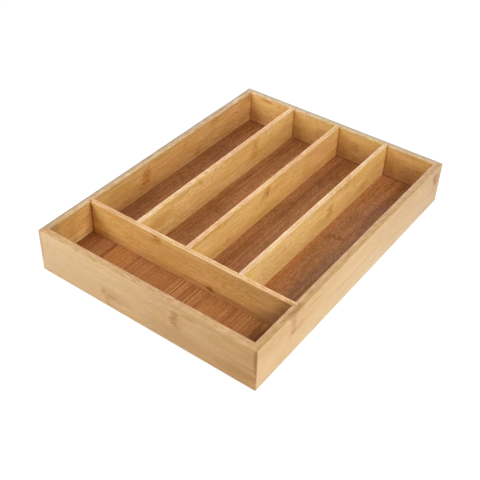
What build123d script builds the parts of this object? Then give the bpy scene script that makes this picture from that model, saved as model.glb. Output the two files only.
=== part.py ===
from build123d import *
import os

# Cutlery tray of glued bamboo boards: four walls mitred at the corners, a base panel held in a groove
# round them, a cross divider let into the side walls, and three long dividers let into the cross
# divider and the back wall. All dividers stand on the base panel, flush with the walls at the top.
# Millimetres. X runs along the front wall, Y from the front wall to the back wall, Z up.
# The origin is the middle of the footprint, on the surface that the tray stands on.

# Overall size
tray_width = 260.0
tray_length = 350.0
tray_height = 50.0

# Boards
wall_thickness = 8.0
base_thickness = 5.0
cross_thickness = 5.5
divider_thickness = 5.5

# Layout
front_depth = 56.0  # the front compartment, from the front wall to the cross divider
base_height = 6.0  # underside of the base panel, above the surface
divider_names = ["left_divider", "middle_divider", "right_divider"]

# Joints
groove_depth = 3.5  # in the walls, for the edges of the base panel
wall_dado_depth = 3.0  # in the walls, for the ends of the dividers
cross_dado_depth = 2.0  # in the cross divider, for the front ends of the long dividers

# Clearances
groove_clearance = 0.15  # above the base panel in its groove
panel_gap = 0.5  # room for the base panel to swell at each edge
dado_clearance = 0.1  # at each side of a divider's end
end_gap = 0.2  # behind a divider's end

# Sanded edges
wall_edge_radius = 1.0  # all outer edges of the frame
rim_edge_radius = 0.5  # inner top edge of the frame
divider_edge_radius = 0.5  # long top edges of the dividers

cut_overrun = 5.0

os.makedirs("parts", exist_ok=True)

# Insides of the frame and places of the dividers
inner_width = tray_width - 2 * wall_thickness
inner_length = tray_length - 2 * wall_thickness
inner_front = wall_thickness - tray_length / 2
inner_back = tray_length / 2 - wall_thickness
base_top = base_height + base_thickness
divider_height = tray_height - base_top
cross_middle = inner_front + front_depth + cross_thickness / 2
cross_back = inner_front + front_depth + cross_thickness
gap_count = len(divider_names) + 1
gap_width = (inner_width - len(divider_names) * divider_thickness) / gap_count
divider_pitch = gap_width + divider_thickness
divider_places = [divider_pitch * (i + 1 - gap_count / 2) for i in range(len(divider_names))]

# Dadoes: what is cut away for the ends of the dividers, from the base panel's top upwards
cross_slot_length = inner_width + 2 * wall_dado_depth
long_slot_front = cross_back - cross_dado_depth
long_slot_back = inner_back + wall_dado_depth
long_slot_length = long_slot_back - long_slot_front
long_slot_middle = (long_slot_front + long_slot_back) / 2

with BuildSketch(Plane.XY.offset(base_top)) as cross_slot:
    with Locations((0, cross_middle)):
        Rectangle(cross_slot_length, cross_thickness + 2 * dado_clearance)

with BuildSketch(Plane.XY.offset(base_top)) as long_slots:
    with Locations(*[(x, long_slot_middle) for x in divider_places]):
        Rectangle(divider_thickness + 2 * dado_clearance, long_slot_length)


# The frame in one block, with its sanded edges, groove and dadoes, before it is parted into walls
with BuildPart() as frame:
    with BuildSketch(Plane.XY):
        Rectangle(tray_width, tray_length)
    extrude(amount=tray_height)
    fillet(frame.edges(), radius=wall_edge_radius)
    with BuildSketch(Plane.XY):
        Rectangle(inner_width, inner_length)
    extrude(amount=tray_height, mode=Mode.SUBTRACT)
    rim = frame.faces().filter_by(Plane.XY).sort_by(Axis.Z)[-1]
    fillet(rim.inner_wires()[0].edges(), radius=rim_edge_radius)
    with BuildSketch(Plane.XY.offset(base_height)):
        Rectangle(inner_width + 2 * groove_depth, inner_length + 2 * groove_depth)
    extrude(amount=base_thickness + groove_clearance, mode=Mode.SUBTRACT)
    extrude(cross_slot.sketch, amount=divider_height, mode=Mode.SUBTRACT)
    extrude(long_slots.sketch, amount=divider_height, mode=Mode.SUBTRACT)


# Walls: each is the frame between two mitres, seen from the middle of its outer face, +y inwards
def mitre_outline(run):
    inwards = wall_thickness + cut_overrun
    outwards = cut_overrun
    return [
        (-run / 2 - outwards, -outwards),
        (run / 2 + outwards, -outwards),
        (run / 2 - inwards, inwards),
        (inwards - run / 2, inwards),
    ]


walls = {
    "front_wall": (Plane((0, -tray_length / 2, 0), x_dir=(1, 0, 0), z_dir=(0, 0, 1)), tray_width),
    "right_wall": (Plane((tray_width / 2, 0, 0), x_dir=(0, 1, 0), z_dir=(0, 0, 1)), tray_length),
    "back_wall": (Plane((0, tray_length / 2, 0), x_dir=(-1, 0, 0), z_dir=(0, 0, 1)), tray_width),
    "left_wall": (Plane((-tray_width / 2, 0, 0), x_dir=(0, -1, 0), z_dir=(0, 0, 1)), tray_length),
}
for name, (outer_face, run) in walls.items():
    with BuildPart() as wall:
        add(frame.part)
        with BuildSketch(outer_face):
            with BuildLine():
                Polyline(*mitre_outline(run), close=True)
            make_face()
        extrude(amount=tray_height, mode=Mode.INTERSECT)
    wall.part.label = name
    export_step(wall.part, f"parts/{name}.step")


# Base panel, lying on the lower side of the groove
with BuildPart() as base_panel:
    with BuildSketch(Plane.XY.offset(base_height)):
        seat = groove_depth - panel_gap
        Rectangle(inner_width + 2 * seat, inner_length + 2 * seat)
    extrude(amount=base_thickness)
base_panel.part.label = "base_panel"
export_step(base_panel.part, "parts/base_panel.step")


# Cross divider, with the dadoes for the long dividers in its back face
with BuildPart() as cross_divider:
    with BuildSketch(Plane.XY.offset(base_top)):
        with Locations((0, cross_middle)):
            Rectangle(cross_slot_length - 2 * end_gap, cross_thickness)
    extrude(amount=divider_height)
    fillet(cross_divider.edges().filter_by(Axis.X).group_by(Axis.Z)[-1], radius=divider_edge_radius)
    extrude(long_slots.sketch, amount=divider_height, mode=Mode.SUBTRACT)
cross_divider.part.label = "cross_divider"
export_step(cross_divider.part, "parts/cross_divider.step")


# Long dividers
for name, x in zip(divider_names, divider_places):
    with BuildPart() as divider:
        with BuildSketch(Plane.XY.offset(base_top)):
            with Locations((x, long_slot_middle)):
                Rectangle(divider_thickness, long_slot_length - 2 * end_gap)
        extrude(amount=divider_height)
        fillet(divider.edges().filter_by(Axis.Y).group_by(Axis.Z)[-1], radius=divider_edge_radius)
    divider.part.label = name
    export_step(divider.part, f"parts/{name}.step")
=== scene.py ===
import math

import bmesh
import bpy
from mathutils import Matrix, Vector


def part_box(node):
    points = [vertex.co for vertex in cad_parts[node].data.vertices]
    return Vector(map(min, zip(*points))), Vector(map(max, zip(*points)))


# Bamboo cutlery tray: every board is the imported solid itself, dressed in laminated bamboo.
# Metres. X runs along the front wall, Y from the front wall to the back wall, Z up.

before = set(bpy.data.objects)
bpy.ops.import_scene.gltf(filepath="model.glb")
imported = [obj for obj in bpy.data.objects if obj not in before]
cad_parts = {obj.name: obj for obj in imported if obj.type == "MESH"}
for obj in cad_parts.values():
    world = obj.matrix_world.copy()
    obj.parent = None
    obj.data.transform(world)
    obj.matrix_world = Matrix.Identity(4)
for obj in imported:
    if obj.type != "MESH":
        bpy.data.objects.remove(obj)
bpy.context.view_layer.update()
scene = bpy.context.scene
print("frame loaded:", ", ".join(sorted(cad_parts)))


# Camera

cameraLook = {
    "place": (0.39082, -0.58012, 0.57176),
    "azimuth": 34.901,  # degrees, 0 looks along +Y
    "elevation": 39.811,
    "roll": 2.045,
    "focalPixels": 848.1,
    "imagePixels": 480,
    "sensorWidth": 36.0,  # millimetres
    "nearest": 0.01,
    "farthest": 50,
}


def addCamera(look):
    azimuth, elevation, roll = (math.radians(look[k]) for k in ("azimuth", "elevation", "roll"))
    level = math.cos(elevation)
    back = Vector((math.sin(azimuth) * level, -math.cos(azimuth) * level, math.sin(elevation)))
    right = Vector((math.cos(azimuth), math.sin(azimuth), 0))
    up = back.cross(right)
    rolledRight = right * math.cos(roll) + up * math.sin(roll)
    rolledUp = up * math.cos(roll) - right * math.sin(roll)
    turn = Matrix((rolledRight, rolledUp, back)).transposed()
    data = bpy.data.cameras.new("trayCamera")
    data.sensor_fit = "HORIZONTAL"
    data.sensor_width = look["sensorWidth"]
    data.lens = look["focalPixels"] * look["sensorWidth"] / look["imagePixels"]
    data.clip_start = look["nearest"]
    data.clip_end = look["farthest"]
    camera = bpy.data.objects.new("trayCamera", data)
    camera.matrix_world = Matrix.Translation(look["place"]) @ turn.to_4x4()
    scene.collection.objects.link(camera)
    scene.camera = camera


addCamera(cameraLook)
print("camera placed")


# Nodes: short helpers for shader trees

noiseMiddle = 0.5
noiseLevels = (0.3, 0.7)  # most of a noise lies between them


def addNode(tree, kind, **settings):
    made = tree.nodes.new(kind)
    for name, value in settings.items():
        setattr(made, name, value)
    return made


def feed(tree, socket, source):
    # a socket takes another socket or a plain value
    if isinstance(source, bpy.types.NodeSocket):
        tree.links.new(source, socket)
    else:
        socket.default_value = source


def maths(tree, operation, *values, clamp=False):
    made = addNode(tree, "ShaderNodeMath", operation=operation, use_clamp=clamp)
    for socket, value in zip(made.inputs, values):
        feed(tree, socket, value)
    return made.outputs[0]


def product(tree, first, *others):
    for other in others:
        first = maths(tree, "MULTIPLY", first, other)
    return first


def vectorMaths(tree, operation, *values):
    made = addNode(tree, "ShaderNodeVectorMath", operation=operation)
    for socket, value in zip(made.inputs, values):
        feed(tree, socket, value)
    return made.outputs["Vector"]


def splitVector(tree, vector):
    made = addNode(tree, "ShaderNodeSeparateXYZ")
    feed(tree, made.inputs[0], vector)
    return made.outputs


def remap(tree, value, fromLow, fromHigh, toLow=0.0, toHigh=1.0, smooth=False):
    made = addNode(tree, "ShaderNodeMapRange", interpolation_type="SMOOTHSTEP" if smooth else "LINEAR")
    given = {"Value": value, "From Min": fromLow, "From Max": fromHigh, "To Min": toLow, "To Max": toHigh}
    for name, item in given.items():
        feed(tree, made.inputs[name], item)
    return made.outputs["Result"]


def blend(tree, amount, first, second, kind="MIX"):
    made = addNode(tree, "ShaderNodeMix", data_type="RGBA", blend_type=kind)
    feed(tree, made.inputs["Factor"], amount)
    feed(tree, made.inputs["A"], first)
    feed(tree, made.inputs["B"], second)
    return made.outputs["Result"]


def tintWhere(tree, colour, tint, *masks):
    # multiplies the colour by the tint where all the masks are on; used for marks of the cane and for
    # painted shade and highlight alike
    return blend(tree, product(tree, *masks), colour, (*tint, 1), "MULTIPLY")


def sway(tree, colour, value, lowTint, highTint, amount=1.0, levels=noiseLevels):
    # multiplies the colour by a tint that goes from one to the other with the value
    tint = blend(tree, remap(tree, value, *levels), (*lowTint, 1), (*highTint, 1))
    return blend(tree, amount, colour, tint, "MULTIPLY")


def noise(tree, vector, scale, detail=2.0, roughness=0.5, distortion=0.0):
    stretched = vectorMaths(tree, "MULTIPLY", vector, scale)
    made = addNode(tree, "ShaderNodeTexNoise")
    feed(tree, made.inputs["Vector"], stretched)
    feed(tree, made.inputs["Scale"], 1.0)
    feed(tree, made.inputs["Detail"], detail)
    feed(tree, made.inputs["Roughness"], roughness)
    feed(tree, made.inputs["Distortion"], distortion)
    return made.outputs["Fac"]


def ramp(tree, value, stops, kind="LINEAR"):
    # tints at places from 0 to 1, blended or stepped from one to the next
    made = addNode(tree, "ShaderNodeValToRGB")
    colours = made.color_ramp
    colours.interpolation = kind
    colours.elements.remove(colours.elements[1])
    colours.elements[0].position = 0.0
    for count, (place, tint) in enumerate(stops):
        element = colours.elements[0] if count == 0 else colours.elements.new(place)
        element.position = place
        element.color = (*tint, 1)
    feed(tree, made.inputs["Fac"], value)
    return made.outputs["Color"]


def evenSteps(tree, value, tints):
    # one even step after another while the value goes from 0 to 1
    return ramp(tree, value, [(count / len(tints), tint) for count, tint in enumerate(tints)], "CONSTANT")


def startGroup(name, inputs, outputs):
    tree = bpy.data.node_groups.new(name, "ShaderNodeTree")
    for label, kind, value in inputs:
        socket = tree.interface.new_socket(label, in_out="INPUT", socket_type="NodeSocket" + kind)
        if value is not None:
            socket.default_value = value
    for label, kind in outputs:
        tree.interface.new_socket(label, in_out="OUTPUT", socket_type="NodeSocket" + kind)
    return tree, tree.nodes.new("NodeGroupInput").outputs, tree.nodes.new("NodeGroupOutput").inputs


def useGroup(tree, group, **values):
    # a keyword such as stripWidth feeds the input "Strip Width"
    made = addNode(tree, "ShaderNodeGroup", node_tree=group)
    for name, value in values.items():
        label = "".join(" " + c if c.isupper() else c for c in name)
        feed(tree, made.inputs[label[0].upper() + label[1:]], value)
    return made.outputs


# A screen's light: straight for its darkest values, then a power.
screenCurve = {
    "full": 255,
    "straightTo": 0.04045,
    "slope": 12.92,
    "offset": 0.055,
    "power": 2.4,
}


def rgb(*values):
    # a colour as it reads on screen turned to scene light
    curve = screenCurve
    light = []
    for value in values:
        share = value / curve["full"]
        if share <= curve["straightTo"]:
            light.append(share / curve["slope"])
        else:
            light.append(((share + curve["offset"]) / (1 + curve["offset"])) ** curve["power"])
    return (*light, 1.0)


# Groups of effects that the bamboo materials share. Their Vector is the board's own space:
# x along the grain, y across the board's face, z through its thickness, from the board's middle.

def makeStrips():
    tree, given, out = startGroup("bambooStrips", [
        ("Vector", "Vector", None),
        ("Strip Width", "Float", 0.025),
        ("Strip Start", "Float", 0.0),
        ("Seam Width", "Float", 0.0003),
        ("Seed", "Float", 0.0),
    ], [("Count", "Float"), ("Tone", "Float"), ("Seam", "Float"), ("Strip Vector", "Vector")])
    across = splitVector(tree, given["Vector"])["Y"]
    fromStart = maths(tree, "SUBTRACT", across, given["Strip Start"])
    counted = maths(tree, "DIVIDE", fromStart, given["Strip Width"])
    count = maths(tree, "FLOOR", counted)
    fromMiddle = maths(tree, "ABSOLUTE", maths(tree, "SUBTRACT", maths(tree, "FRACT", counted), 0.5))
    fromSeam = maths(tree, "MULTIPLY", maths(tree, "SUBTRACT", 0.5, fromMiddle), given["Strip Width"])
    cell = addNode(tree, "ShaderNodeCombineXYZ")
    feed(tree, cell.inputs["X"], count)
    feed(tree, cell.inputs["Y"], given["Seed"])
    chance = addNode(tree, "ShaderNodeTexWhiteNoise", noise_dimensions="3D")
    feed(tree, chance.inputs["Vector"], cell.outputs[0])
    feed(tree, out["Count"], count)
    feed(tree, out["Tone"], chance.outputs["Value"])
    feed(tree, out["Seam"], remap(tree, fromSeam, 0.0, given["Seam Width"], 1.0, 0.0, smooth=True))
    feed(tree, out["Strip Vector"], vectorMaths(tree, "ADD", given["Vector"], chance.outputs["Color"]))
    return tree


# Scales are features per metre: along the grain, across it and through the board.
grainLook = {
    "patterns": {
        "Clouds": {"scale": (14, 60, 60), "distortion": 0.4},
        "Blush": {"scale": (38, 75, 75), "detail": 1, "distortion": 0.3},
        "Streaks": {"scale": (5, 210, 210), "detail": 3, "roughness": 0.6, "distortion": 0.5},
        "Fibres": {"scale": (30, 700, 700), "roughness": 0.6, "distortion": 0.2},
        "Hairs": {"scale": (260, 1200, 1200), "roughness": 0.6},
        "Lines": {"scale": (4, 1000, 1000), "detail": 1, "distortion": 0.2},
        "Flecks": {"scale": (130, 420, 420), "detail": 1},
    },
    "dashPatches": {"scale": (16, 55, 55)},
    "patchLevels": (0.46, 0.62),
    "dashes": {"scale": (150, 800, 800), "detail": 1},
    "dashLevels": (0.54, 0.66),
    "dashShifts": {"Dark Dashes": 0.0, "Light Dashes": 7.3},
}


def makeGrain(look):
    labels = [*look["patterns"], *look["dashShifts"]]
    tree, given, out = startGroup(
        "bambooGrain", [("Vector", "Vector", None)], [(label, "Float") for label in labels])
    vector = given["Vector"]
    for label, settings in look["patterns"].items():
        feed(tree, out[label], noise(tree, vector, **settings))
    for label, shift in look["dashShifts"].items():
        moved = vectorMaths(tree, "ADD", vector, (shift, shift, shift))
        patches = remap(tree, noise(tree, moved, **look["dashPatches"]), *look["patchLevels"], smooth=True)
        dashes = remap(tree, noise(tree, moved, **look["dashes"]), *look["dashLevels"], smooth=True)
        feed(tree, out[label], product(tree, patches, dashes))
    return tree


knuckleLook = {
    "wobble": {"scale": (60, 300, 300), "detail": 3},
    "wobbleReach": 0.013,  # metres along the grain
    "ragged": {"scale": (60, 260, 260), "detail": 3},
    "raggedReach": 0.6,  # of the half height
    "patchy": {"scale": (220, 520, 520)},
    "patchyLevels": (0.38, 0.58),
    "dashes": {"scale": (170, 640, 640), "detail": 1},
    "fibrous": {"scale": (22, 380, 380), "detail": 3},
    "fibrousLevels": (0.38, 0.6),
    "leastSmudge": 0.5,
    "bow": 0.42,  # from the lens's middle to each of its lines, in widths
    "farSide": (-0.2, 0.5, 1.0, 0.4),  # two places in widths, then the strength of the lines at each
    "trailHeights": (0.85, 0.3),  # of the half height, where the trail starts and where it ends
    "glowAhead": 0.25,  # in trails
    # the value at which each mask is nothing, then the one at which it is full
    "fades": {
        "inside": (1.0, 0.45),
        "smudge": (1.3, 0.0),
        "bowedLine": (0.26, 0.0),
        "lineEnds": (0.95, 0.5),
        "dashes": (0.52, 0.60),
        "dashesAside": (1.2, 0.5),
        "dashesAtEnds": (0.9, 0.6),
        "trailStart": (-0.15, 0.2),
        "trailEnd": (1.0, 0.1),
        "trailSides": (0.2, -0.35),
        "glow": (0.25, 0.0),
    },
}


def pattern(tree, given, look, name):
    return noise(tree, given["Vector"], **look[name])


def fade(tree, look, value, name):
    return remap(tree, value, *look["fades"][name], smooth=True)


def knucklePlaces(tree, given, look):
    # how far along the grain from the knuckle's wobbling line, and off its middle in half heights
    axes = splitVector(tree, given["Vector"])
    across = maths(tree, "SUBTRACT", axes["Y"], given["Across"])
    along = maths(tree, "SUBTRACT", axes["X"], given["Along"])
    curve = product(tree, across, across, given["Bend"])
    along = maths(tree, "SUBTRACT", along, maths(tree, "MULTIPLY_ADD", across, given["Lean"], curve))
    wobble = maths(tree, "SUBTRACT", pattern(tree, given, look, "wobble"), noiseMiddle)
    along = maths(tree, "MULTIPLY_ADD", wobble, look["wobbleReach"], along)
    height = maths(tree, "DIVIDE", maths(tree, "ABSOLUTE", across), given["Half Height"])
    ragged = maths(tree, "SUBTRACT", pattern(tree, given, look, "ragged"), noiseMiddle)
    height = maths(tree, "MULTIPLY_ADD", ragged, look["raggedReach"], height)
    return along, height


def knuckleCore(tree, given, look, away, height, patchy):
    # the lens, two bowed lines that meet at its ends, and the dashes round it
    fromLine = maths(tree, "ABSOLUTE", away)
    bow = remap(tree, maths(tree, "MULTIPLY", height, height), 0.0, 1.0, look["bow"], 0.0)
    fromBow = maths(tree, "ABSOLUTE", maths(tree, "SUBTRACT", fromLine, bow))
    lens = product(tree, fade(tree, look, fromBow, "bowedLine"), fade(tree, look, height, "lineEnds"))
    lens = product(tree, lens, remap(tree, away, *look["farSide"]), patchy)
    dashes = fade(tree, look, pattern(tree, given, look, "dashes"), "dashes")
    aside = fade(tree, look, fromLine, "dashesAside")
    spread = product(tree, aside, fade(tree, look, height, "dashesAtEnds"))
    return maths(tree, "MAXIMUM", lens, product(tree, dashes, spread))


def knuckleTrail(tree, given, look, run, height):
    narrow = remap(tree, run, 0.0, 1.0, *look["trailHeights"])
    within = fade(tree, look, maths(tree, "SUBTRACT", height, narrow), "trailSides")
    fibrous = remap(tree, pattern(tree, given, look, "fibrous"), *look["fibrousLevels"])
    ends = product(tree, fade(tree, look, run, "trailEnd"), fade(tree, look, run, "trailStart"))
    return product(tree, ends, within, fibrous)


def makeKnuckle(look):
    # where a joint of the cane crosses a strip: a mottled smudge with a dark lens in it, and browned fibres
    # that trail off along the grain, to the side that the trail's length points to
    tree, given, out = startGroup("bambooKnuckle", [
        ("Vector", "Vector", None),
        ("Along", "Float", 0.0),
        ("Across", "Float", 0.0),
        ("Half Height", "Float", 0.01),
        ("Width", "Float", 0.003),
        ("Lean", "Float", 0.0),
        ("Bend", "Float", 0.0),
        ("Trail", "Float", 0.02),
    ], [("Core", "Float"), ("Smudge", "Float"), ("Trail", "Float"), ("Glow", "Float")])
    along, height = knucklePlaces(tree, given, look)
    away = maths(tree, "DIVIDE", along, given["Width"])
    run = maths(tree, "DIVIDE", along, given["Trail"])
    patchy = remap(tree, pattern(tree, given, look, "patchy"), *look["patchyLevels"])
    inside = fade(tree, look, height, "inside")
    smudge = product(tree, fade(tree, look, maths(tree, "ABSOLUTE", away), "smudge"), inside)
    smudge = product(tree, smudge, remap(tree, patchy, 0.0, 1.0, look["leastSmudge"], 1.0))
    ahead = maths(tree, "ABSOLUTE", maths(tree, "ADD", run, look["glowAhead"]))
    feed(tree, out["Core"], knuckleCore(tree, given, look, away, height, patchy))
    feed(tree, out["Smudge"], smudge)
    feed(tree, out["Trail"], knuckleTrail(tree, given, look, run, height))
    feed(tree, out["Glow"], product(tree, fade(tree, look, ahead, "glow"), inside, patchy))
    return tree


stainAndShadeLook = {
    "ragged": {"scale": (25, 240, 240), "detail": 3},
    "raggedReach": 1.1,
    "fade": (1.0, 0.15),
}


def makeStainAndShade(look):
    # a soft long patch, broken up along the fibres, that makes the surface browner or paler: used for stains
    # of the cane and for painted shadows, painted corner shade and painted light
    tree, given, out = startGroup("bambooStainAndShade", [
        ("Vector", "Vector", None),
        ("Along", "Float", 0.0),
        ("Across", "Float", 0.0),
        ("Half Length", "Float", 0.02),
        ("Half Height", "Float", 0.008),
    ], [("Mask", "Float")])
    vector = given["Vector"]
    axes = splitVector(tree, vector)
    ragged = maths(tree, "SUBTRACT", noise(tree, vector, **look["ragged"]), noiseMiddle)
    far = []
    for axis, centre, reach in (("X", "Along", "Half Length"), ("Y", "Across", "Half Height")):
        gone = maths(tree, "DIVIDE", maths(tree, "SUBTRACT", axes[axis], given[centre]), given[reach])
        far.append(maths(tree, "MULTIPLY", gone, gone))
    distance = maths(tree, "MULTIPLY_ADD", ragged, look["raggedReach"], maths(tree, "ADD", *far))
    feed(tree, out["Mask"], remap(tree, distance, *look["fade"], smooth=True))
    return tree


# A band is two distances in metres: where its mask is nothing, then where it is full.
edgeLook = {
    "topBand": (0.0007, 0.0002),
    "footBand": (0.0016, 0.0004),
}


def makeEdges(look):
    tree, given, out = startGroup("easedEdges", [
        ("Vector", "Vector", None),
        ("Half Size", "Vector", None),
        ("Width", "Float", 0.001),
        ("Foot Height", "Float", 0.0),
    ], [("Edge", "Float"), ("Top", "Float"), ("Foot", "Float")])
    # how far inside each pair of faces: an edge is near two pairs at once
    inwards = vectorMaths(tree, "ABSOLUTE", given["Vector"])
    depths = splitVector(tree, vectorMaths(tree, "SUBTRACT", given["Half Size"], inwards))
    near = [remap(tree, depths[a], 0.0, given["Width"], 1.0, 0.0, smooth=True) for a in "XYZ"]
    pairs = [product(tree, near[a], near[b]) for a, b in ((0, 1), (1, 2), (0, 2))]
    feed(tree, out["Edge"], maths(tree, "MAXIMUM", maths(tree, "MAXIMUM", pairs[0], pairs[1]), pairs[2]))
    across = splitVector(tree, given["Vector"])["Y"]
    reach = splitVector(tree, given["Half Size"])["Y"]
    fromTop = maths(tree, "SUBTRACT", reach, across)
    feed(tree, out["Top"], remap(tree, fromTop, *look["topBand"], smooth=True))
    fromFoot = maths(tree, "SUBTRACT", maths(tree, "ADD", reach, across), given["Foot Height"])
    feed(tree, out["Foot"], remap(tree, fromFoot, *look["footBand"], smooth=True))
    return tree


strips = makeStrips()
grain = makeGrain(grainLook)
knuckle = makeKnuckle(knuckleLook)
stainAndShade = makeStainAndShade(stainAndShadeLook)
edges = makeEdges(edgeLook)
print("shader groups made")


# Boards

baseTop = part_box("base_panel")[1].z
boardTurns = {
    "x": Matrix(((1, 0, 0), (0, 0, 1), (0, -1, 0))),  # upright board, grain along X
    "y": Matrix(((0, 1, 0), (0, 0, 1), (1, 0, 0))),  # upright board, grain along Y
    "flat": Matrix(((0, 1, 0), (-1, 0, 0), (0, 0, 1))),  # lying board, grain along Y
}

# Face colours are as they read on screen. The rest are tints that multiply them: at a pattern's low and
# high, or at places in metres, along the grain or up the board. The tints along the grain, up the board and
# along the rim are painted light and shade, partly the board's own tone. The marked side has the tints of
# along and up and the stains, and footSide has the foot, a dark line where the board meets the base,
# partly the joint and partly painted contact shade: 1 is the outer side, -1 the inner one. The edge tint is
# a painted highlight along the rounded edges, partly sanded wear. Amounts and shares go from 0 to 1. The
# figure is how strongly the grain shows at the two ends of the board, and plainFigure the share of it that
# the other side keeps. The rim is the board's upper edge, whose two plies meet at rimSplit, and the fringe
# is its outermost line; where it is set, its tint is painted shade of the rounded outer edge. Flecks show on
# the rim, and on the face as far as mottled says. Lines show strip by strip, as far as linedStrips and lined
# say.
paleBamboo = {
    "outer": rgb(216, 179, 130),
    "inner": rgb(225, 182, 110),
    "rimOuter": rgb(203, 166, 114),
    "rimInner": rgb(204, 164, 114),
    "rimSplit": 0.0,  # metres from the board's middle
    "rimSeam": ((0.86, 0.79, 0.70), 0.3),
    "fringe": ((1, 1, 1), 0.0),
    "marked": 1,
    "figure": (1.0, 1.0),
    "plainFigure": 1.0,
    "clouds": ((0.94, 0.90, 0.87), (1.05, 1.07, 1.09)),
    "blush": ((0.99, 1.00, 0.90), (1.01, 1.00, 1.10)),
    "streaks": ((0.95, 0.91, 0.84), (1.04, 1.07, 1.14)),
    "fibres": ((0.93, 0.88, 0.75), (1.07, 1.12, 1.26)),
    "hairs": ((0.95, 0.92, 0.84), (1.05, 1.08, 1.17)),
    "flecks": ((0.86, 0.79, 0.70), (1.10, 1.14, 1.20)),
    "mottled": [(0, (0, 0, 0))],
    "darkDash": ((0.76, 0.64, 0.45), 0.9),
    "lightDash": ((1.13, 1.20, 1.34), 0.9),
    "stripWidth": 0.025,
    "stripStart": 0.0,
    "stripTints": [(1, 1, 1)],
    "toneSpread": 0.04,
    "linedStrips": [],
    "seam": ((0.78, 0.70, 0.60), 0.35),
    # edge: a painted highlight along the rounded edges, partly sanded wear; foot: a dark line where a board
    # meets the base, partly the joint and partly painted contact shade
    "edge": ((1.10, 1.11, 1.13), 0.5),
    "edgeWidth": 0.0012,
    "foot": ((0.60, 0.50, 0.42), 0.7),
    "footHeight": baseTop,
    "footSide": -1,
    "along": [(0, (1, 1, 1))],
    "up": [(0, (1, 1, 1))],
    "rimAlong": [(0, (1, 1, 1))],
    "knuckles": [],
    "stains": [],
    "roughness": (0.42, 0.58),
    "bump": 0.25,
    "coat": 0.05,
    "gloss": 0.4,
}
thinBamboo = dict(
    paleBamboo,
    outer=paleBamboo["inner"], inner=rgb(230, 190, 124),
    rimOuter=rgb(219, 177, 128), rimInner=rgb(230, 191, 147),
    footHeight=0.0, footSide=1, foot=((0.70, 0.60, 0.50), 0.4),
    # edge: a painted highlight along the rounded top edges of the dividers, broader than on the walls
    edge=((1.13, 1.15, 1.20), 0.8), edgeWidth=0.0022,
    clouds=((0.92, 0.86, 0.82), (1.07, 1.13, 1.14)), streaks=((0.97, 0.93, 0.87), (1.03, 1.06, 1.12)),
    blush=((0.98, 0.99, 0.88), (1.03, 1.01, 1.12)), flecks=((0.91, 0.86, 0.79), (1.06, 1.09, 1.13)),
    fibres=((0.93, 0.87, 0.74), (1.07, 1.14, 1.31)), hairs=((0.91, 0.83, 0.64), (1.09, 1.17, 1.37)))
darkBamboo = dict(
    paleBamboo,
    outer=rgb(170, 114, 65), inner=rgb(170, 114, 65),
    rimOuter=rgb(170, 114, 65), rimInner=rgb(170, 114, 65),
    footHeight=0.0, foot=((1, 1, 1), 0.0), edge=((1, 1, 1), 0.0),
    clouds=((0.86, 0.84, 0.83), (1.12, 1.12, 1.12)), streaks=((0.95, 0.92, 0.90), (1.06, 1.07, 1.07)),
    fibres=((0.90, 0.83, 0.71), (1.10, 1.18, 1.33)), hairs=((0.71, 0.58, 0.40), (1.29, 1.45, 1.74)),
    lines=((0.58, 0.40, 0.24), (1.42, 1.72, 2.22)),
    darkDash=((0.76, 0.65, 0.54), 0.8), lightDash=((1.18, 1.27, 1.36), 0.8),
    stripWidth=0.020, coat=0.02, gloss=0.25, roughness=(0.50, 0.68))

# What all boards share.
bambooFinish = {
    "plyBlend": 0.0004,  # metres to each side of rimSplit
    "rimSeamBand": (0.0006, 0.0002),  # from rimSplit
    "fringeBand": (0.0016, 0.0004),  # from the outer face
    "knuckleTints": [
        ("Glow", (1.10, 1.11, 1.13), 0.7),
        ("Trail", (0.91, 0.80, 0.67), 0.9),
        ("Smudge", (0.86, 0.73, 0.57), 0.9),
        ("Core", (0.62, 0.44, 0.30), 0.75),
    ],
    "seamRelief": 0.6,
    "hairRelief": 0.4,
    "reliefHeight": 0.0002,  # metres
    "coatRoughness": 0.3,
}
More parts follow.
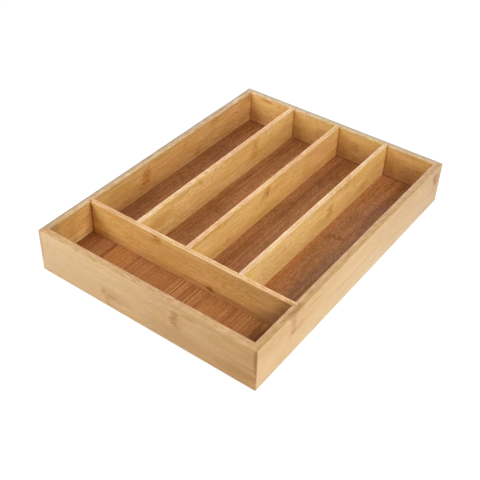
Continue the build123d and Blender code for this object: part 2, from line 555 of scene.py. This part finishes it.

# The grain names a board's turn, and outward is 1 where its z then points to its outer face, else -1.
# Knuckles and stains: along the grain from the tray's middle, and across it, which is the height above
# the surface on an upright board and leftwards on the base panel. Their tall and long are half sizes. The
# stains lists hold stains of the cane and also painted shadows, painted corner shade and painted light,
# said board by board.
boards = {
    "front_wall": dict(
        paleBamboo, grain="x", outward=1, seed=3.0, figure=(0.45, 1.0),
        # along: lighter at the left end and darker towards the right, painted light and shade, partly the
        # board's tone
        along=[(-0.128, (0.96, 1.01, 1.06)), (-0.06, (1.01, 1.02, 1.01)), (0.0, (1.02, 0.99, 0.90)),
               (0.06, (1.04, 0.96, 0.81)), (0.128, (0.98, 0.83, 0.61))],
        # up: the dark line along the very bottom of the outer face is a painted contact shadow
        up=[(0.0005, (0.80, 0.83, 0.90)), (0.0022, (1.0, 0.99, 0.98)), (0.035, (1.0, 1.0, 0.99))],
        knuckles=[
            {"along": -0.0450, "across": 0.0130, "tall": 0.0130, "width": 0.0036, "trail": 0.030,
             "lean": -0.45, "strength": 0.7},
            {"along": 0.0390, "across": 0.0325, "tall": 0.0140, "width": 0.0055, "trail": 0.020,
             "bend": 20.0, "strength": 0.8},
        ],
        # The two patches at the left end (-0.1300) are painted shade on the rounded corner; the rest, the
        # dark band at the right end among them, are marks of the cane and the mitre
        stains=[
            {"along": -0.0370, "across": 0.0150, "long": 0.008, "tall": 0.0014, "tint": (0.78, 0.66, 0.54)},
            {"along": -0.0300, "across": 0.0170, "long": 0.024, "tall": 0.007, "tint": (0.93, 0.86, 0.80)},
            {"along": 0.0450, "across": 0.0140, "long": 0.052, "tall": 0.010, "tint": (0.93, 0.89, 0.86)},
            {"along": 0.1080, "across": 0.0130, "long": 0.034, "tall": 0.008, "tint": (0.88, 0.81, 0.74)},
            {"along": 0.0560, "across": 0.0430, "long": 0.011, "tall": 0.003, "tint": (0.82, 0.74, 0.64)},
            {"along": 0.1300, "across": 0.0360, "long": 0.0045, "tall": 0.022, "tint": (0.66, 0.56, 0.46)},
            {"along": -0.1300, "across": 0.0250, "long": 0.0018, "tall": 0.050, "tint": (0.62, 0.54, 0.46)},
            {"along": -0.1300, "across": 0.0400, "long": 0.0060, "tall": 0.036, "tint": (0.90, 0.83, 0.82)},
        ]),
    # Back wall: its along, up and rimAlong tints are painted light and shade, partly tone, darker towards
    # the bottom and the right of the inner face; its dark foot is partly the joint and partly painted
    # contact shade; its grey outer rim ply and fringe are painted shade of the rounded outer edge
    "back_wall": dict(
        paleBamboo, grain="x", outward=-1, seed=8.0, marked=-1, figure=(0.8, 0.8), plainFigure=0.5,
        foot=((0.42, 0.34, 0.29), 0.85), hairs=((0.87, 0.77, 0.55), (1.13, 1.24, 1.48)),
        along=[(-0.122, (1.17, 1.23, 1.38)), (-0.068, (1.09, 1.13, 1.24)), (-0.052, (0.98, 1.01, 1.08)),
               (0.03, (0.94, 0.94, 0.99)), (0.10, (0.84, 0.81, 0.82))],
        up=[(0.014, (1.0, 0.99, 1.18)), (0.022, (1.0, 0.97, 1.05)), (0.030, (1.06, 1.06, 1.02)),
            (0.044, (1.15, 1.17, 1.14))],
        rimOuter=rgb(172, 156, 134), rimInner=rgb(218, 184, 136), rimSplit=0.0016,
        edge=((1, 1, 1), 0.0), fringe=((0.72, 0.67, 0.60), 0.8),
        rimAlong=[(-0.13, (1.19, 1.31, 1.50)), (0.0, (0.95, 1.06, 1.12)), (0.13, (0.81, 0.80, 0.75))],
        knuckles=[
            {"along": 0.0250, "across": 0.0325, "tall": 0.0080, "width": 0.0060, "trail": 0.014,
             "bend": 40.0, "strength": 0.6},
        ],
        # The first four patches are painted shade in the lower-left corner of each compartment; the next
        # four thin ones are dark joints at the dividers, partly painted shade; the one at 0.104 is a painted
        # shadow of the right wall; the rest make darker and paler patches and a dark mark
        stains=[
            {"along": x, "across": 0.018, "long": 0.016, "tall": 0.016, "tint": (0.82, 0.77, 0.76)}
            for x in (-0.120, -0.058, 0.005, 0.067)
        ] + [
            {"along": x, "across": 0.030, "long": 0.0020, "tall": 0.050, "tint": (0.78, 0.70, 0.64)}
            for x in (-0.1215, -0.0590, 0.0033, 0.0657)
        ] + [
            {"along": 0.104, "across": 0.022, "long": 0.024, "tall": 0.018, "tint": (0.84, 0.81, 0.84)},
            {"along": 0.046, "across": 0.018, "long": 0.016, "tall": 0.012, "tint": (0.84, 0.80, 0.88)},
            {"along": -0.020, "across": 0.032, "long": 0.010, "tall": 0.010, "tint": (0.88, 0.83, 0.86)},
            {"along": 0.070, "across": 0.043, "long": 0.014, "tall": 0.010, "tint": (1.10, 1.10, 1.08)},
            {"along": -0.098, "across": 0.0465, "long": 0.010, "tall": 0.0025, "tint": (0.78, 0.66, 0.54)},
        ]),
    # Left wall: its along, up and rimAlong tints are painted light and shade on the inner face, partly tone;
    # its very dark foot is partly the joint and partly painted contact shade; its grey outer rim ply and
    # fringe are painted shade of the rounded outer edge
    "left_wall": dict(
        paleBamboo, grain="y", outward=-1, seed=5.0, marked=-1, figure=(0.60, 1.0), plainFigure=0.5,
        foot=((0.28, 0.21, 0.18), 0.95), streaks=((0.90, 0.84, 0.74), (1.06, 1.11, 1.22)),
        fibres=((0.77, 0.64, 0.36), (1.25, 1.38, 1.70)), hairs=((0.87, 0.78, 0.58), (1.13, 1.22, 1.44)),
        along=[(-0.10, (0.88, 0.85, 0.81)), (-0.03, (0.89, 0.85, 0.83)), (0.05, (0.89, 0.84, 0.83)),
               (0.12, (0.90, 0.84, 0.86)), (0.165, (0.91, 0.86, 0.93))],
        up=[(0.015, (1.02, 1.05, 1.18)), (0.030, (1.0, 0.98, 0.96)), (0.042, (1.02, 1.02, 1.01))],
        rimOuter=rgb(168, 158, 140), rimInner=rgb(206, 177, 133), rimSplit=0.0016,
        edge=((1, 1, 1), 0.0), fringe=((0.72, 0.67, 0.60), 0.8),
        rimAlong=[(-0.175, (0.92, 0.89, 0.80)), (0.0, (1.02, 1.02, 1.02)), (0.175, (1.07, 1.10, 1.18))],
        knuckles=[
            {"along": -0.0270, "across": 0.0340, "tall": 0.0140, "width": 0.0075, "trail": 0.016,
             "lean": 0.10},
            {"along": 0.0620, "across": 0.0200, "tall": 0.0075, "width": 0.0055, "trail": -0.012,
             "strength": 0.6},
        ],
        # The patch at -0.1640 is painted shade in the corner by the front wall and the two pale ones near
        # -0.1200 are painted light by the cross divider; the long one makes the lower face darker
        stains=[
            {"along": -0.0400, "across": 0.0180, "long": 0.055, "tall": 0.009, "tint": (0.92, 0.84, 0.79)},
            {"along": -0.1640, "across": 0.0300, "long": 0.012, "tall": 0.040, "tint": (0.76, 0.77, 0.82)},
            {"along": -0.1180, "across": 0.0150, "long": 0.020, "tall": 0.018, "tint": (1.24, 1.28, 1.36)},
            {"along": -0.1200, "across": 0.0350, "long": 0.020, "tall": 0.020, "tint": (1.12, 1.14, 1.16)},
        ]),
    "right_wall": dict(
        paleBamboo, grain="y", outward=1, seed=12.0, figure=(0.6, 0.6), rimSeam=((0.80, 0.72, 0.62), 0.6),
        # along and up: darker towards the back end, with a dark line along the very bottom that is a painted
        # contact shadow and a pale band just above it that is painted light; partly the board's tone
        along=[(-0.174, (1.02, 1.0, 0.90)), (0.0, (0.93, 0.94, 0.93)), (0.120, (0.88, 0.89, 0.90)),
               (0.174, (0.80, 0.77, 0.75))],
        up=[(0.0005, (0.84, 0.86, 0.92)), (0.0022, (1.10, 1.18, 1.31)), (0.008, (1.10, 1.18, 1.31)),
            (0.025, (1.04, 1.05, 1.07)), (0.040, (0.97, 0.95, 0.92))],
        rimOuter=rgb(187, 151, 98), rimInner=rgb(196, 160, 117),
        rimAlong=[(-0.175, (1.03, 1.03, 0.98)), (0.175, (0.96, 0.95, 0.98))],
        knuckles=[
            {"along": -0.1185, "across": 0.0355, "tall": 0.0165, "width": 0.0060, "trail": 0.018,
             "bend": -18.0, "strength": 0.8},
            {"along": 0.1600, "across": 0.0370, "tall": 0.0120, "width": 0.0055, "trail": 0.012,
             "lean": -0.40},
        ],
        stains=[
            {"along": -0.1080, "across": 0.0280, "long": 0.014, "tall": 0.006, "tint": (0.90, 0.82, 0.74)},
            {"along": -0.1140, "across": 0.0500, "long": 0.016, "tall": 0.004, "tint": (0.76, 0.64, 0.52)},
            {"along": 0.1640, "across": 0.0360, "long": 0.010, "tall": 0.010, "tint": (0.90, 0.82, 0.78)},
            {"along": -0.1745, "across": 0.0250, "long": 0.0012, "tall": 0.040, "tint": (0.80, 0.70, 0.60)},
        ]),
    # Cross divider: its foot is partly the joint and partly painted contact shade; its up tints, darker at
    # the bottom, are painted shade; its along tints, darker towards the right end, are painted shadow of the
    # right wall, partly tone
    "cross_divider": dict(
        thinBamboo, grain="x", outward=1, seed=21.0,
        foot=((0.60, 0.50, 0.42), 0.7), hairs=((0.93, 0.87, 0.73), (1.07, 1.13, 1.28)),
        along=[(-0.12, (1.03, 1.07, 1.07)), (-0.04, (1.0, 1.0, 0.99)), (0.02, (1.0, 1.01, 1.05)),
               (0.08, (0.94, 0.92, 1.00)), (0.12, (0.87, 0.84, 0.93))],
        up=[(0.012, (0.93, 0.89, 0.91)), (0.017, (0.95, 0.92, 0.93)), (0.021, (1.03, 1.03, 1.05)),
            (0.034, (1.03, 1.02, 1.01)), (0.045, (0.99, 0.97, 0.94))],
        rimOuter=rgb(212, 169, 119), rimInner=rgb(214, 172, 122), stripStart=-0.0115,
        knuckles=[
            {"along": 0.0290, "across": 0.0175, "tall": 0.0045, "width": 0.0050, "trail": 0.012},
            {"along": -0.0350, "across": 0.0450, "tall": 0.0060, "width": 0.0075, "trail": 0.016},
        ],
        # The three patches at the right end (0.1160 to 0.1240) are painted shadow of the right wall; the
        # thin dark one at the left end (-0.1225) is painted shade in the corner by the left wall and the
        # pale one beside it (-0.1150) is painted light; the two at 0.0300 and 0.0560 are marks of the cane
        stains=[
            {"along": 0.0300, "across": 0.0170, "long": 0.006, "tall": 0.0022, "tint": (0.56, 0.44, 0.36)},
            {"along": 0.0560, "across": 0.0150, "long": 0.038, "tall": 0.0035, "tint": (0.82, 0.72, 0.64)},
            {"along": 0.1160, "across": 0.0160, "long": 0.038, "tall": 0.022, "tint": (0.64, 0.60, 0.65)},
            {"along": 0.1200, "across": 0.0240, "long": 0.022, "tall": 0.034, "tint": (0.70, 0.66, 0.68)},
            {"along": 0.1240, "across": 0.0300, "long": 0.016, "tall": 0.048, "tint": (0.70, 0.65, 0.65)},
            {"along": -0.1225, "across": 0.0300, "long": 0.0030, "tall": 0.050, "tint": (0.56, 0.48, 0.42)},
            {"along": -0.1150, "across": 0.0180, "long": 0.012, "tall": 0.012, "tint": (1.16, 1.19, 1.28)},
        ]),
    "left_divider": dict(
        thinBamboo, grain="y", outward=1, seed=31.0, stripStart=-0.0025,
        along=[(-0.10, (1.05, 1.09, 1.17)), (0.13, (1.04, 1.07, 1.12)), (0.165, (0.93, 0.94, 0.92))],
        rimAlong=[(-0.11, (1.0, 1.06, 1.11)), (0.0, (1.0, 0.96, 0.90)), (0.17, (1.06, 1.01, 0.97))],
        up=[(0.016, (1.07, 1.14, 1.23)), (0.030, (0.99, 0.95, 0.91)), (0.043, (1.05, 1.10, 1.18))],
        knuckles=[
            {"along": 0.0890, "across": 0.0330, "tall": 0.0145, "width": 0.0070, "trail": 0.014,
             "lean": 0.15, "strength": 0.7},
        ],
        stains=[
            {"along": -0.0780, "across": 0.0360, "long": 0.026, "tall": 0.010, "tint": (0.90, 0.83, 0.74)},
        ]),
    "middle_divider": dict(
        thinBamboo, grain="y", outward=1, seed=44.0, stripStart=-0.0025,
        along=[(-0.10, (1.07, 1.16, 1.23)), (0.13, (1.06, 1.07, 1.12)), (0.165, (0.99, 0.98, 0.98))],
        rimAlong=[(-0.11, (1.05, 1.02, 1.0)), (0.03, (1.0, 0.94, 0.89)), (0.17, (0.95, 0.89, 0.80))],
        up=[(0.016, (1.01, 0.99, 0.97)), (0.030, (1.03, 1.03, 1.03)), (0.043, (0.98, 0.98, 0.98))],
        knuckles=[
            {"along": 0.0215, "across": 0.0410, "tall": 0.0080, "width": 0.0080, "trail": 0.012,
             "lean": 0.40},
        ],
        stains=[
            {"along": 0.0233, "across": 0.0385, "long": 0.0030, "tall": 0.0032, "tint": (0.56, 0.43, 0.33)},
            {"along": 0.0450, "across": 0.0385, "long": 0.020, "tall": 0.005, "tint": (0.97, 0.86, 0.68)},
            {"along": 0.1020, "across": 0.0300, "long": 0.012, "tall": 0.022, "tint": (0.94, 0.90, 0.85)},
            {"along": 0.1300, "across": 0.0440, "long": 0.034, "tall": 0.006, "tint": (0.93, 0.86, 0.82)},
        ]),
    "right_divider": dict(
        thinBamboo, grain="y", outward=1, seed=57.0, stripStart=-0.0025,
        along=[(-0.10, (1.05, 1.18, 1.36)), (0.165, (1.03, 1.06, 1.13))],
        rimAlong=[(-0.11, (1.02, 1.03, 1.05)), (0.03, (1.05, 1.05, 1.06)), (0.17, (0.95, 0.93, 0.85))],
        up=[(0.016, (1.05, 1.08, 1.13)), (0.030, (0.99, 0.97, 0.96)), (0.043, (1.01, 1.03, 1.06))],
        rimOuter=rgb(212, 173, 127), rimInner=rgb(222, 186, 145),
        knuckles=[
            {"along": 0.0490, "across": 0.0300, "tall": 0.0100, "width": 0.0060, "trail": -0.012},
        ],
        stains=[
            {"along": 0.1200, "across": 0.0240, "long": 0.012, "tall": 0.010, "tint": (0.92, 0.85, 0.78)},
        ]),
    "base_panel": dict(
        darkBamboo, grain="flat", outward=1, seed=66.0, stripStart=0.007, figure=(0.60, 1.20),
        seam=((0.52, 0.38, 0.29), 0.8),
        # along: paler at the back of the front compartment and darker just behind the cross divider, painted
        # light and shade, partly tone
        along=[(-0.160, (0.95, 0.90, 0.80)), (-0.138, (0.99, 0.96, 0.86)), (-0.113, (1.20, 1.22, 1.16)),
               (-0.104, (0.92, 0.93, 0.91)), (-0.05, (0.99, 1.0, 0.99)), (0.05, (1.05, 1.08, 1.05)),
               (0.167, (1.06, 1.10, 1.13))],
        stripTints=[
            (0.92, 0.90, 0.92), (0.95, 0.94, 0.95), (1.0, 1.0, 1.0), (1.0, 0.98, 0.96),
            (1.04, 1.04, 1.03), (1.0, 0.98, 0.98), (0.99, 0.98, 0.98), (0.98, 0.97, 0.97),
            (1.03, 1.04, 1.04), (1.0, 0.98, 0.97), (1.05, 1.05, 1.03), (0.97, 0.94, 0.92),
            (0.94, 0.92, 0.92)],
        linedStrips=[1.0, 0.8, 0.6, 0.5, 0.2, 1.0, 1.0, 0.3, 0.3, 0.7, 0.1, 1.0, 0.5],
        lined=[(-0.110, (1, 1, 1)), (-0.105, (0.6, 0.6, 0.6))],
        mottled=[(-0.110, (0.2, 0.2, 0.2)), (-0.105, (0.8, 0.8, 0.8))],
        knuckles=[
            {"along": 0.0370, "across": -0.0840, "tall": 0.0150, "width": 0.0038, "trail": 0.012,
             "lean": -0.25},
            {"along": -0.0030, "across": 0.0440, "tall": 0.0130, "width": 0.0070, "trail": 0.016,
             "bend": 30.0, "strength": 0.6},
            {"along": 0.1050, "across": -0.0180, "tall": 0.0090, "width": 0.0050, "trail": 0.012,
             "lean": 0.50, "strength": 0.6},
        ],
        # The four patches across -0.1100 to -0.1160 are painted shadow of the right wall, deepest in the
        # front-right corner; the three long bands across -0.0520, 0.0090 and 0.0720 are painted shade along
        # the left foot of each divider; the rest make darker and paler patches
        stains=[
            {"along": -0.0300, "across": -0.1120, "long": 0.090, "tall": 0.030, "tint": (0.74, 0.78, 0.92)},
            {"along": -0.0920, "across": -0.1160, "long": 0.030, "tall": 0.022, "tint": (0.63, 0.60, 0.65)},
            {"along": -0.1330, "across": -0.1160, "long": 0.035, "tall": 0.032, "tint": (0.42, 0.37, 0.35)},
            {"along": -0.1400, "across": -0.0100, "long": 0.040, "tall": 0.046, "tint": (1.06, 1.06, 1.05)},
            {"along": -0.1450, "across": 0.1120, "long": 0.036, "tall": 0.022, "tint": (0.82, 0.81, 0.78)},
            {"along": -0.1300, "across": 0.0700, "long": 0.030, "tall": 0.016, "tint": (1.08, 1.08, 1.08)},
            {"along": -0.0980, "across": 0.0480, "long": 0.022, "tall": 0.032, "tint": (0.84, 0.82, 0.86)},
            {"along": 0.0600, "across": 0.0400, "long": 0.050, "tall": 0.014, "tint": (1.12, 1.12, 1.14)},
            {"along": -0.0600, "across": -0.0680, "long": 0.070, "tall": 0.012, "tint": (1.16, 1.17, 1.18)},
            {"along": 0.0300, "across": -0.0900, "long": 0.120, "tall": 0.020, "tint": (0.96, 1.00, 1.18)},
            {"along": 0.0850, "across": 0.1010, "long": 0.030, "tall": 0.010, "tint": (0.78, 0.76, 0.76)},
            {"along": -0.0500, "across": 0.1020, "long": 0.032, "tall": 0.010, "tint": (0.82, 0.80, 0.80)},
            {"along": 0.1000, "across": -0.1100, "long": 0.090, "tall": 0.026, "tint": (0.76, 0.74, 0.80)},
            {"along": 0.0300, "across": -0.0520, "long": 0.170, "tall": 0.015, "tint": (0.86, 0.82, 0.76)},
            {"along": 0.0000, "across": 0.0090, "long": 0.150, "tall": 0.014, "tint": (0.88, 0.82, 0.70)},
            {"along": 0.0300, "across": 0.0720, "long": 0.170, "tall": 0.014, "tint": (0.84, 0.80, 0.74)},
        ]),
}


def onSide(tree, outwards, side):
    # a mask of the outer side for 1, of the inner side for -1
    return maths(tree, "GREATER_THAN", maths(tree, "MULTIPLY", outwards, side), 0.0)


def readBoard(tree, name, look):
    # all that the layers of a board's colour are made from, in the board's own space
    low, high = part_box(name)
    turn = boardTurns[look["grain"]]
    middle = turn @ ((low + high) / 2)
    half = Vector(abs(v) for v in turn @ ((high - low) / 2))
    place = addNode(tree, "ShaderNodeTexCoord")
    turned = addNode(tree, "ShaderNodeMapping", vector_type="POINT")
    feed(tree, turned.inputs["Vector"], place.outputs["Object"])
    feed(tree, turned.inputs["Rotation"], turn.to_euler())
    feed(tree, turned.inputs["Location"], -middle)
    vector = turned.outputs["Vector"]
    axes = splitVector(tree, vector)
    outwards = maths(tree, "MULTIPLY", axes["Z"], look["outward"])
    strip = useGroup(
        tree, strips, vector=vector, stripWidth=look["stripWidth"], stripStart=look["stripStart"],
        seed=look["seed"])
    side = useGroup(
        tree, edges, vector=vector, halfSize=half, width=look["edgeWidth"], footHeight=look["footHeight"])
    return {
        "vector": vector,
        "axes": axes,
        "middle": middle,
        "half": half,
        "outwards": outwards,
        "strip": strip,
        "mark": useGroup(tree, grain, vector=strip["Strip Vector"]),
        "side": side,
        "onTop": side["Top"],
        "onFace": maths(tree, "SUBTRACT", 1.0, side["Top"]),
        "marked": onSide(tree, outwards, look["marked"]),
    }


def placedTints(tree, board, stops, axis="X"):
    # a ramp whose stops are places in metres along one axis of the board
    middle, half = (board[key]["XYZ".index(axis)] for key in ("middle", "half"))
    places = []
    for place, tint in stops:
        share = (place - middle + half) / (2 * half)
        places.append((min(max(share, 0.0), 1.0), tint))
    return ramp(tree, remap(tree, board["axes"][axis], -half, half), places)


def plyColour(tree, look, board):
    # the two face plies, and their edges seen from above
    outwards = board["outwards"]
    face = blend(tree, onSide(tree, outwards, 1), look["inner"], look["outer"])
    fromSplit = maths(tree, "SUBTRACT", outwards, look["rimSplit"])
    soft = bambooFinish["plyBlend"]
    rim = blend(tree, remap(tree, fromSplit, -soft, soft), look["rimInner"], look["rimOuter"])
    tint, amount = look["rimSeam"]
    away = maths(tree, "ABSOLUTE", fromSplit)
    rim = tintWhere(tree, rim, tint, remap(tree, away, *bambooFinish["rimSeamBand"], smooth=True), amount)
    # the fringe, where it is set, is painted shade along the rounded outer edge of the rim
    tint, amount = look["fringe"]
    band = [board["half"].z - depth for depth in bambooFinish["fringeBand"]]
    rim = tintWhere(tree, rim, tint, remap(tree, outwards, *band, smooth=True), amount)
    return blend(tree, board["onTop"], face, rim)


def addShade(tree, look, board, colour):
    # painted light and shade, partly the board's own tone: tints along the grain and up the marked face, and
    # along the rim
    onMarked = product(tree, board["onFace"], board["marked"])
    for mask, key, axis in (
            (onMarked, "along", "X"), (onMarked, "up", "Y"), (board["onTop"], "rimAlong", "X")):
        colour = blend(tree, mask, colour, placedTints(tree, board, look[key], axis), "MULTIPLY")
    return colour


def addStrips(tree, look, board, colour):
    # strips are counted from the first one on the board, each in the middle of its own step
    strip = board["strip"]
    tints = look["stripTints"]
    first = math.floor((-board["half"].y - look["stripStart"]) / look["stripWidth"])
    shown = maths(tree, "DIVIDE", maths(tree, "SUBTRACT", strip["Count"], first - 0.5), len(tints))
    colour = blend(tree, board["onFace"], colour, evenSteps(tree, shown, tints), "MULTIPLY")
    spread = look["toneSpread"]
    colour = sway(tree, colour, strip["Tone"], (1 - spread,) * 3, (1 + spread,) * 3, levels=(0.0, 1.0))
    if look["linedStrips"]:
        lined = evenSteps(tree, shown, [(amount,) * 3 for amount in look["linedStrips"]])
        lined = product(tree, lined, placedTints(tree, board, look["lined"]))
        colour = sway(tree, colour, board["mark"]["Lines"], *look["lines"], amount=lined)
    return colour


def addGrain(tree, look, board, colour):
    mark = board["mark"]
    reach = board["half"].x
    figure = remap(tree, board["axes"]["X"], -reach, reach, *look["figure"])
    shown = maths(tree, "MAXIMUM", board["marked"], board["onTop"])
    figure = product(tree, figure, remap(tree, shown, 0.0, 1.0, look["plainFigure"], 1.0))
    for name in ("Clouds", "Blush", "Streaks", "Fibres", "Hairs"):
        colour = sway(tree, colour, mark[name], *look[name.lower()], amount=figure)
    flecked = maths(tree, "MAXIMUM", board["onTop"], placedTints(tree, board, look["mottled"]))
    colour = sway(tree, colour, mark["Flecks"], *look["flecks"], amount=flecked)
    for name, key in (("Dark Dashes", "darkDash"), ("Light Dashes", "lightDash")):
        tint, amount = look[key]
        colour = tintWhere(tree, colour, tint, mark[name], figure, amount)
    return colour


def useAt(tree, group, board, spot, **values):
    # a group that draws one mark, at the mark's place on the board
    along = spot["along"] - board["middle"].x
    across = spot["across"] - board["middle"].y
    return useGroup(tree, group, vector=board["vector"], along=along, across=across, **values)


def addStainsAndShade(tree, look, board, colour):
    # stains of the cane, and painted shadows, painted corner shade and painted light, all on the marked side
    for spot in look["stains"]:
        made = useAt(tree, stainAndShade, board, spot, halfLength=spot["long"], halfHeight=spot["tall"])
        colour = tintWhere(tree, colour, spot["tint"], made["Mask"], board["marked"])
    return colour


def addSeams(tree, look, board, colour):
    tint, amount = look["seam"]
    return tintWhere(tree, colour, tint, board["strip"]["Seam"], amount)


def addKnuckles(tree, look, board, colour):
    for spot in look["knuckles"]:
        made = useAt(
            tree, knuckle, board, spot, halfHeight=spot["tall"], width=spot["width"], trail=spot["trail"],
            lean=spot.get("lean", 0.0), bend=spot.get("bend", 0.0))
        for label, tint, amount in bambooFinish["knuckleTints"]:
            colour = tintWhere(tree, colour, tint, made[label], amount * spot.get("strength", 1.0))
    return colour


def addFootShadeAndEdgeHighlight(tree, look, board, colour):
    # a dark line at the foot, partly the joint and partly painted contact shade, and a painted highlight
    # along the rounded edges, partly sanded wear
    tint, amount = look["foot"]
    footed = onSide(tree, board["outwards"], look["footSide"])
    colour = tintWhere(tree, colour, tint, board["side"]["Foot"], footed, amount)
    tint, amount = look["edge"]
    return tintWhere(tree, colour, tint, board["side"]["Edge"], amount)


def boardRelief(tree, look, board):
    sunk = maths(tree, "MULTIPLY", board["strip"]["Seam"], bambooFinish["seamRelief"])
    relief = maths(tree, "SUBTRACT", board["mark"]["Fibres"], sunk)
    relief = maths(tree, "MULTIPLY_ADD", board["mark"]["Hairs"], bambooFinish["hairRelief"], relief)
    bump = addNode(tree, "ShaderNodeBump")
    feed(tree, bump.inputs["Strength"], look["bump"])
    feed(tree, bump.inputs["Distance"], bambooFinish["reliefHeight"])
    feed(tree, bump.inputs["Height"], relief)
    return bump.outputs["Normal"]


def dressBoard(name, look):
    material = bpy.data.materials.new(name + "_bamboo")
    material.use_nodes = True
    tree = material.node_tree
    tree.nodes.clear()
    board = readBoard(tree, name, look)
    colour = plyColour(tree, look, board)
    for layer in (addShade, addStrips, addGrain, addStainsAndShade, addSeams, addKnuckles, addFootShadeAndEdgeHighlight):
        colour = layer(tree, look, board, colour)
    roughness = remap(tree, board["mark"]["Streaks"], *noiseLevels, *look["roughness"])
    shader = addNode(tree, "ShaderNodeBsdfPrincipled")
    feed(tree, shader.inputs["Base Color"], colour)
    feed(tree, shader.inputs["Roughness"], roughness)
    feed(tree, shader.inputs["Specular IOR Level"], look["gloss"])
    feed(tree, shader.inputs["Coat Weight"], look["coat"])
    feed(tree, shader.inputs["Coat Roughness"], bambooFinish["coatRoughness"])
    feed(tree, shader.inputs["Normal"], boardRelief(tree, look, board))
    end = addNode(tree, "ShaderNodeOutputMaterial")
    feed(tree, end.inputs["Surface"], shader.outputs[0])
    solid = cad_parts[name]
    solid.data.materials.clear()
    solid.data.materials.append(material)


for name, look in boards.items():
    dressBoard(name, look)
print("boards dressed:", len(boards))


# Stage: a pale floor that shows white and keeps a soft shadow, a white world and soft lamps

stageLook = {
    "floorHalf": 6.0,
    "floorDrop": 0.0002,  # under the walls, so that their lower faces stay clear of it
    "floorColour": (0.8, 0.8, 0.8, 1),
    "shadowShare": (0.25, 0.25, 0.25, 1),
    "nearGlow": 0.84,  # within nearReach of the tray, so that its shadow shows there
    "farGlow": 1.0,
    "nearReach": 0.55,
    "farReach": 1.0,
    "ambient": 0.16,
    "lamps": [
        {"name": "keyLamp", "place": (0.616, 0.0, 0.788), "size": 0.5, "power": 2.5},
        {"name": "sideLamp", "place": (0.5, 0.0, 0.35), "size": 0.3, "power": 1.1},
        {"name": "rightLamp", "place": (0.9, 0.0, 0.42), "size": 0.5, "power": 1.2},
        {"name": "cornerLamp", "place": (-0.35, -0.5, 0.3), "size": 0.3, "power": 1.9},
        {"name": "frontLamp", "place": (-0.435, -0.435, 0.788), "size": 0.5, "power": 1.5},
        {"name": "leftLamp", "place": (-0.435, 0.435, 0.788), "size": 0.5, "power": 1.9},
        {"name": "backLamp", "place": (0.0, 0.9, 0.42), "size": 0.5, "power": 1.7},
    ],
}


def whiteForCamera(tree, seen, unseen):
    # the first shader for what the lens, gloss and glass see, the second for the light itself
    path = addNode(tree, "ShaderNodeLightPath")
    look = maths(tree, "MAXIMUM", path.outputs["Is Camera Ray"], path.outputs["Is Glossy Ray"])
    look = maths(tree, "MAXIMUM", look, path.outputs["Is Transmission Ray"])
    made = addNode(tree, "ShaderNodeMixShader")
    feed(tree, made.inputs[0], look)
    feed(tree, made.inputs[1], unseen)
    feed(tree, made.inputs[2], seen)
    return made.outputs[0]


def makeFloor(look):
    material = bpy.data.materials.new("paleFloor")
    material.use_nodes = True
    tree = material.node_tree
    tree.nodes.clear()
    matte, shadowed = (addNode(tree, "ShaderNodeBsdfDiffuse") for _ in range(2))
    feed(tree, matte.inputs["Color"], look["floorColour"])
    feed(tree, shadowed.inputs["Color"], look["shadowShare"])
    place = addNode(tree, "ShaderNodeTexCoord")
    away = addNode(tree, "ShaderNodeVectorMath", operation="LENGTH")
    feed(tree, away.inputs[0], place.outputs["Object"])
    glow = addNode(tree, "ShaderNodeEmission")
    feed(tree, glow.inputs["Strength"], remap(
        tree, away.outputs["Value"], look["nearReach"], look["farReach"], look["nearGlow"], look["farGlow"],
        smooth=True))
    seen = addNode(tree, "ShaderNodeAddShader")
    feed(tree, seen.inputs[0], shadowed.outputs[0])
    feed(tree, seen.inputs[1], glow.outputs[0])
    above = whiteForCamera(tree, seen.outputs[0], matte.outputs[0])
    below = addNode(tree, "ShaderNodeBsdfTransparent")
    facing = addNode(tree, "ShaderNodeNewGeometry")
    both = addNode(tree, "ShaderNodeMixShader")
    feed(tree, both.inputs[0], facing.outputs["Backfacing"])
    feed(tree, both.inputs[1], above)
    feed(tree, both.inputs[2], below.outputs[0])
    end = addNode(tree, "ShaderNodeOutputMaterial")
    feed(tree, end.inputs["Surface"], both.outputs[0])

    shape = bmesh.new()
    half, drop = look["floorHalf"], look["floorDrop"]
    corners = [(-half, -half), (half, -half), (half, half), (-half, half)]
    shape.faces.new([shape.verts.new((x, y, -drop)) for x, y in corners])
    mesh = bpy.data.meshes.new("floor")
    shape.to_mesh(mesh)
    shape.free()
    mesh.materials.append(material)
    floor = bpy.data.objects.new("floor", mesh)
    scene.collection.objects.link(floor)


def makeWorld(look):
    world = bpy.data.worlds.new("whiteWorld")
    world.use_nodes = True
    tree = world.node_tree
    tree.nodes.clear()
    seen, unseen = (addNode(tree, "ShaderNodeBackground") for _ in range(2))
    feed(tree, unseen.inputs["Strength"], look["ambient"])
    for sky in (seen, unseen):
        feed(tree, sky.inputs["Color"], (1, 1, 1, 1))
    end = addNode(tree, "ShaderNodeOutputWorld")
    feed(tree, end.inputs["Surface"], whiteForCamera(tree, seen.outputs[0], unseen.outputs[0]))
    scene.world = world


def addLamp(lamp):
    # aimed at the origin
    data = bpy.data.lights.new(lamp["name"], "AREA")
    data.shape = "DISK"
    data.size = lamp["size"]
    data.energy = lamp["power"]
    made = bpy.data.objects.new(lamp["name"], data)
    made.location = lamp["place"]
    made.rotation_euler = (-Vector(lamp["place"])).to_track_quat("-Z", "Y").to_euler()
    made.visible_camera = False
    scene.collection.objects.link(made)


makeFloor(stageLook)
makeWorld(stageLook)
for lamp in stageLook["lamps"]:
    addLamp(lamp)
scene.view_settings.view_transform = "Standard"
print("stage and light ready")
